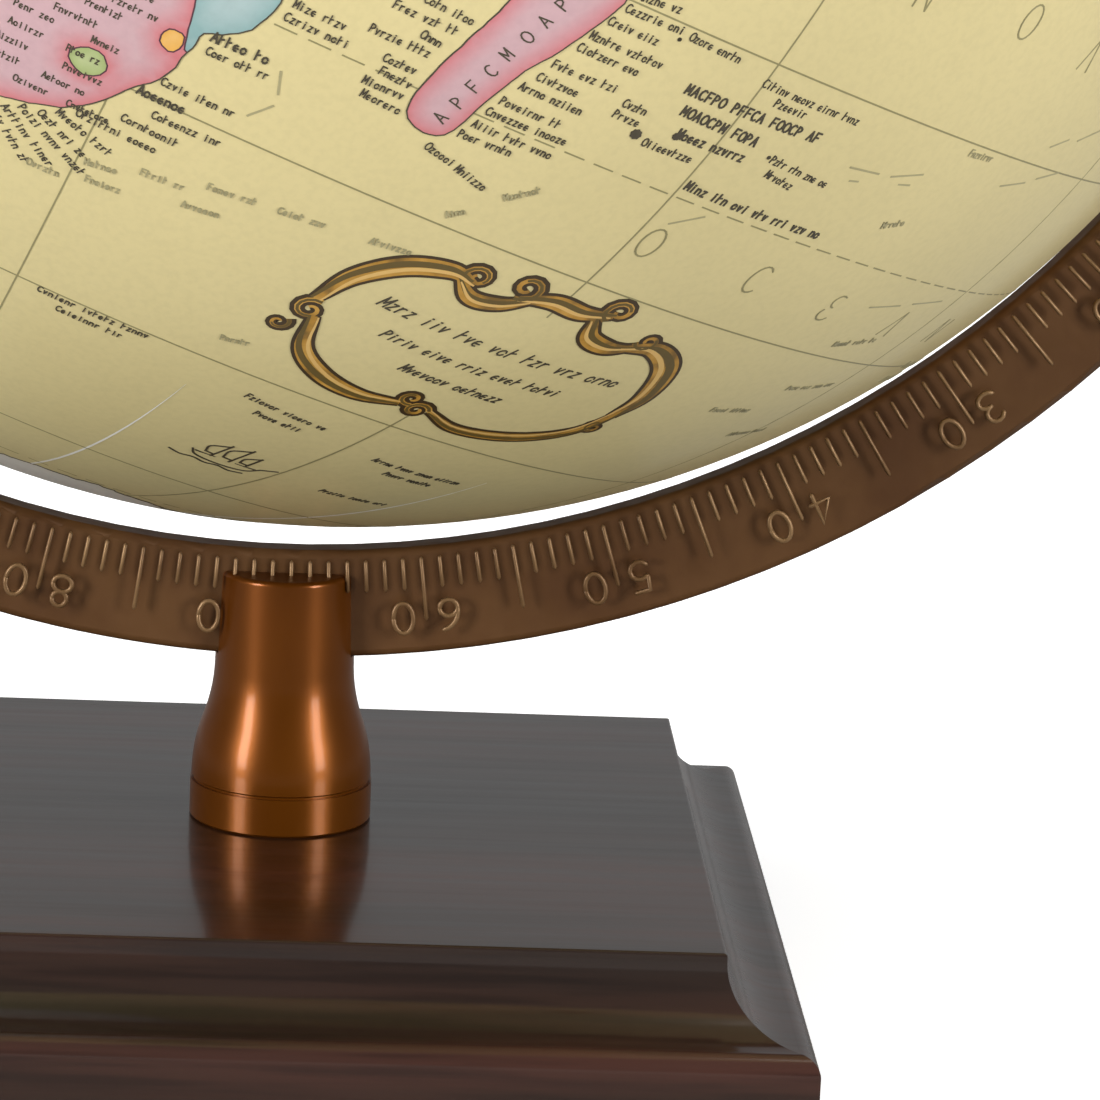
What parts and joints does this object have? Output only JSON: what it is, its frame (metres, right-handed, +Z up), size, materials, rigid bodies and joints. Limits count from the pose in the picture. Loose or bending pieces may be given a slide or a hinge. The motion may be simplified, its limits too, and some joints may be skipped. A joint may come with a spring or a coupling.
{
  "type": "desktop globe on stand",
  "caption": "Desk globe: a ball on a tilted axis between the ends of a graduated meridian arm, whose foot stands in a turned post on a moulded square wooden base.",
  "frame": {"origin": "centre of the base's underside, where the felt rests", "axes": "+Z up; the meridian arm lies in the XZ plane and rises on the +X side, towards which the ball's axis leans; +Y to the back"},
  "size_m": [0.326, 0.3048, 0.4102],
  "materials": {
    "stained_wood": "dark walnut stain under satin lacquer, figure running along the front",
    "felt": "pressed green-black felt",
    "zinc_steel": "bright zinc plate",
    "bronze_gloss": "antique bronze lacquer, glossy",
    "bronze_satin": "antique bronze lacquer, satin, rubbed lighter on raised marks",
    "brass": "turned, plain",
    "nylon": "natural nylon",
    "dial_plastic": "printed dial under gloss lacquer",
    "raw_board": "pressed grey board, unfinished",
    "map_print": "printed paper under gloss varnish"
  },
  "bodies": {
    "stand": {"base_block": "stained_wood", "felt_sheet": "felt", "clamp_bolt": "zinc_steel", "plate_washer": "zinc_steel", "spring_washer": "zinc_steel", "post": "bronze_gloss", "meridian_arm": "bronze_satin", "north_finial": "bronze_gloss", "south_cap_nut": "bronze_gloss", "north_thrust_washer": "nylon", "north_pin": "brass", "south_thrust_washer": "nylon", "south_pin": "brass"},
    "globe": {"north_shell": "raw_board", "south_shell": "raw_board", "joining_hoop": "raw_board", "equator_tape": "map_print", "north_map": "map_print", "south_map": "map_print", "north_calotte": "map_print", "south_calotte": "map_print", "north_bush": "brass", "south_bush": "brass", "north_push_nut": "zinc_steel", "south_push_nut": "zinc_steel"},
    "hour_dial": {"hour_dial": "dial_plastic"}
  },
  "joints": [
    {"name": "globe_spin", "type": "hinge", "parent": "stand", "child": "globe", "pos_m": [0.00495, 0, 0.22945], "axis": [0.3987, 0, 0.9171], "continuous": true},
    {"name": "hour_dial_turn", "type": "hinge", "parent": "globe", "child": "hour_dial", "pos_m": [0.00495, 0, 0.22945], "axis": [0.3987, 0, 0.9171], "continuous": true}
  ]
}
